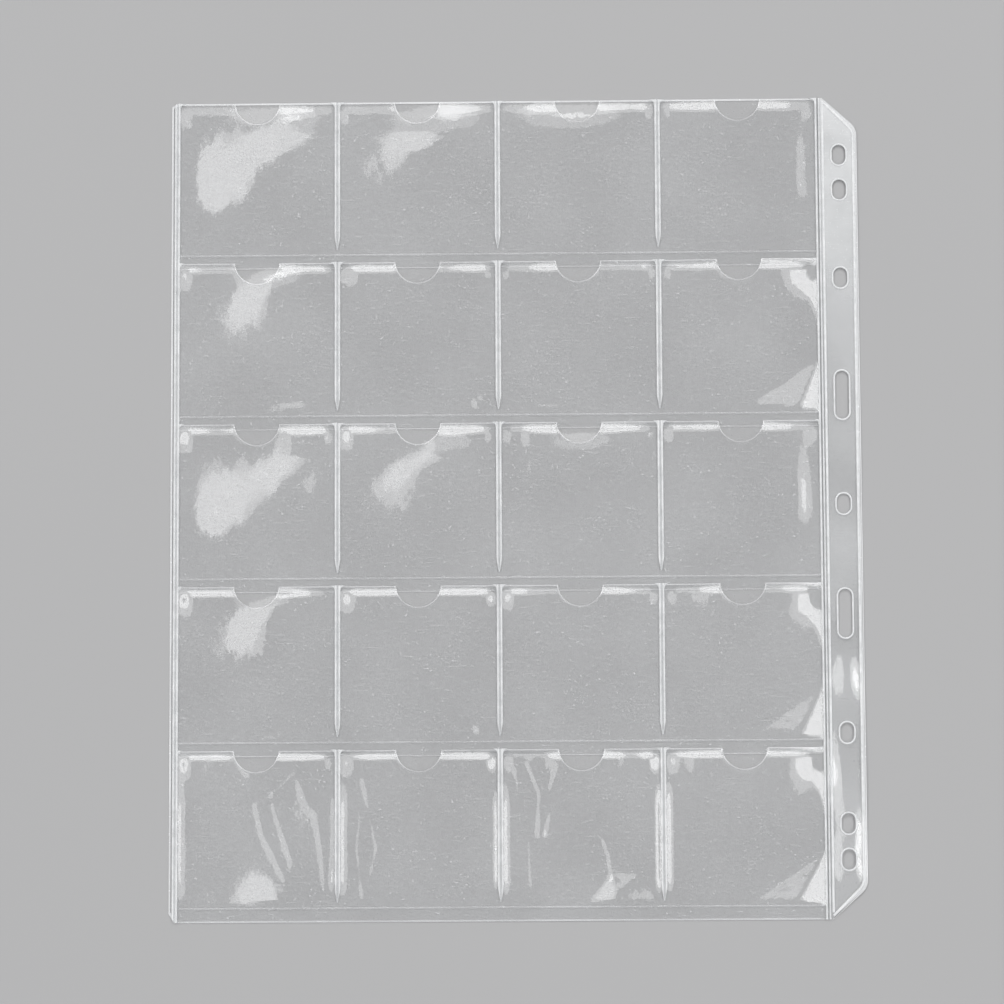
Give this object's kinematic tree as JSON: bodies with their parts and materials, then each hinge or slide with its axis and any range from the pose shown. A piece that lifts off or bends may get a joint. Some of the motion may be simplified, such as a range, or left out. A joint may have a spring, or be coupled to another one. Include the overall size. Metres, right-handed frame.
{
  "type": "coin album page",
  "caption": "Clear flexible album page with open-topped square pockets for coins in card holders, thumb notches at the mouths and a punched strip for ring binders.",
  "frame": {"origin": "middle of the page's outline, on its underside", "axes": "+X towards the punched binding strip, +Y towards the top edge, which the pockets open to, +Z out of the pockets' fronts"},
  "size_m": [0.234, 0.2798, 0.001],
  "materials": {
    "clear_film": "clear flexible film, glossy and a little wavy",
    "film_weld": "fused clear film, ridged and glossy"
  },
  "bodies": {
    "page": {"back_sheet": "clear_film", "left_edge_weld": "film_weld", "spine_weld": "film_weld", "column_weld_1": "film_weld", "column_weld_2": "film_weld", "column_weld_3": "film_weld", "row_hem_1": "clear_film", "row_hem_2": "clear_film", "row_hem_3": "clear_film", "row_hem_4": "clear_film", "row_hem_5": "clear_film"},
    "binding_strip": {"binding_strip_back": "clear_film", "binding_strip_front": "clear_film", "strip_edge_weld": "film_weld", "hole_rims": "film_weld"},
    "pocket_r1_c1": {"pocket_front_r1_c1": "clear_film"},
    "pocket_r1_c2": {"pocket_front_r1_c2": "clear_film"},
    "pocket_r1_c3": {"pocket_front_r1_c3": "clear_film"},
    "pocket_r1_c4": {"pocket_front_r1_c4": "clear_film"},
    "pocket_r2_c1": {"pocket_front_r2_c1": "clear_film"},
    "pocket_r2_c2": {"pocket_front_r2_c2": "clear_film"},
    "pocket_r2_c3": {"pocket_front_r2_c3": "clear_film"},
    "pocket_r2_c4": {"pocket_front_r2_c4": "clear_film"},
    "pocket_r3_c1": {"pocket_front_r3_c1": "clear_film"},
    "pocket_r3_c2": {"pocket_front_r3_c2": "clear_film"},
    "pocket_r3_c3": {"pocket_front_r3_c3": "clear_film"},
    "pocket_r3_c4": {"pocket_front_r3_c4": "clear_film"},
    "pocket_r4_c1": {"pocket_front_r4_c1": "clear_film"},
    "pocket_r4_c2": {"pocket_front_r4_c2": "clear_film"},
    "pocket_r4_c3": {"pocket_front_r4_c3": "clear_film"},
    "pocket_r4_c4": {"pocket_front_r4_c4": "clear_film"},
    "pocket_r5_c1": {"pocket_front_r5_c1": "clear_film"},
    "pocket_r5_c2": {"pocket_front_r5_c2": "clear_film"},
    "pocket_r5_c3": {"pocket_front_r5_c3": "clear_film"},
    "pocket_r5_c4": {"pocket_front_r5_c4": "clear_film"}
  },
  "joints": [
    {"name": "binding_strip_fold", "type": "hinge", "parent": "page", "child": "binding_strip", "pos_m": [0.10432, 0, 0.00042], "axis": [0, -1, 0], "range_deg": [-90, 90], "stiffness_Nm_per_rad": 0.0005},
    {"name": "pocket_open_r1_c1", "type": "hinge", "parent": "page", "child": "pocket_r1_c1", "pos_m": [-0.08767, 0.08744, 0.0008], "axis": [1, 0, 0], "range_deg": [0, 6], "stiffness_Nm_per_rad": 0.004},
    {"name": "pocket_open_r1_c2", "type": "hinge", "parent": "page", "child": "pocket_r1_c2", "pos_m": [-0.03297, 0.08744, 0.0008], "axis": [1, 0, 0], "range_deg": [0, 6], "stiffness_Nm_per_rad": 0.004},
    {"name": "pocket_open_r1_c3", "type": "hinge", "parent": "page", "child": "pocket_r1_c3", "pos_m": [0.02173, 0.08744, 0.0008], "axis": [1, 0, 0], "range_deg": [0, 6], "stiffness_Nm_per_rad": 0.004},
    {"name": "pocket_open_r1_c4", "type": "hinge", "parent": "page", "child": "pocket_r1_c4", "pos_m": [0.07643, 0.08744, 0.0008], "axis": [1, 0, 0], "range_deg": [0, 6], "stiffness_Nm_per_rad": 0.004},
    {"name": "pocket_open_r2_c1", "type": "hinge", "parent": "page", "child": "pocket_r2_c1", "pos_m": [-0.08767, 0.03194, 0.0008], "axis": [1, 0, 0], "range_deg": [0, 6], "stiffness_Nm_per_rad": 0.004},
    {"name": "pocket_open_r2_c2", "type": "hinge", "parent": "page", "child": "pocket_r2_c2", "pos_m": [-0.03297, 0.03194, 0.0008], "axis": [1, 0, 0], "range_deg": [0, 6], "stiffness_Nm_per_rad": 0.004},
    {"name": "pocket_open_r2_c3", "type": "hinge", "parent": "page", "child": "pocket_r2_c3", "pos_m": [0.02173, 0.03194, 0.0008], "axis": [1, 0, 0], "range_deg": [0, 6], "stiffness_Nm_per_rad": 0.004},
    {"name": "pocket_open_r2_c4", "type": "hinge", "parent": "page", "child": "pocket_r2_c4", "pos_m": [0.07643, 0.03194, 0.0008], "axis": [1, 0, 0], "range_deg": [0, 6], "stiffness_Nm_per_rad": 0.004},
    {"name": "pocket_open_r3_c1", "type": "hinge", "parent": "page", "child": "pocket_r3_c1", "pos_m": [-0.08767, -0.02356, 0.0008], "axis": [1, 0, 0], "range_deg": [0, 6], "stiffness_Nm_per_rad": 0.004},
    {"name": "pocket_open_r3_c2", "type": "hinge", "parent": "page", "child": "pocket_r3_c2", "pos_m": [-0.03297, -0.02356, 0.0008], "axis": [1, 0, 0], "range_deg": [0, 6], "stiffness_Nm_per_rad": 0.004},
    {"name": "pocket_open_r3_c3", "type": "hinge", "parent": "page", "child": "pocket_r3_c3", "pos_m": [0.02173, -0.02356, 0.0008], "axis": [1, 0, 0], "range_deg": [0, 6], "stiffness_Nm_per_rad": 0.004},
    {"name": "pocket_open_r3_c4", "type": "hinge", "parent": "page", "child": "pocket_r3_c4", "pos_m": [0.07643, -0.02356, 0.0008], "axis": [1, 0, 0], "range_deg": [0, 6], "stiffness_Nm_per_rad": 0.004},
    {"name": "pocket_open_r4_c1", "type": "hinge", "parent": "page", "child": "pocket_r4_c1", "pos_m": [-0.08767, -0.07906, 0.0008], "axis": [1, 0, 0], "range_deg": [0, 6], "stiffness_Nm_per_rad": 0.004},
    {"name": "pocket_open_r4_c2", "type": "hinge", "parent": "page", "child": "pocket_r4_c2", "pos_m": [-0.03297, -0.07906, 0.0008], "axis": [1, 0, 0], "range_deg": [0, 6], "stiffness_Nm_per_rad": 0.004},
    {"name": "pocket_open_r4_c3", "type": "hinge", "parent": "page", "child": "pocket_r4_c3", "pos_m": [0.02173, -0.07906, 0.0008], "axis": [1, 0, 0], "range_deg": [0, 6], "stiffness_Nm_per_rad": 0.004},
    {"name": "pocket_open_r4_c4", "type": "hinge", "parent": "page", "child": "pocket_r4_c4", "pos_m": [0.07643, -0.07906, 0.0008], "axis": [1, 0, 0], "range_deg": [0, 6], "stiffness_Nm_per_rad": 0.004},
    {"name": "pocket_open_r5_c1", "type": "hinge", "parent": "page", "child": "pocket_r5_c1", "pos_m": [-0.08767, -0.13456, 0.0008], "axis": [1, 0, 0], "range_deg": [0, 6], "stiffness_Nm_per_rad": 0.004},
    {"name": "pocket_open_r5_c2", "type": "hinge", "parent": "page", "child": "pocket_r5_c2", "pos_m": [-0.03297, -0.13456, 0.0008], "axis": [1, 0, 0], "range_deg": [0, 6], "stiffness_Nm_per_rad": 0.004},
    {"name": "pocket_open_r5_c3", "type": "hinge", "parent": "page", "child": "pocket_r5_c3", "pos_m": [0.02173, -0.13456, 0.0008], "axis": [1, 0, 0], "range_deg": [0, 6], "stiffness_Nm_per_rad": 0.004},
    {"name": "pocket_open_r5_c4", "type": "hinge", "parent": "page", "child": "pocket_r5_c4", "pos_m": [0.07643, -0.13456, 0.0008], "axis": [1, 0, 0], "range_deg": [0, 6], "stiffness_Nm_per_rad": 0.004}
  ]
}
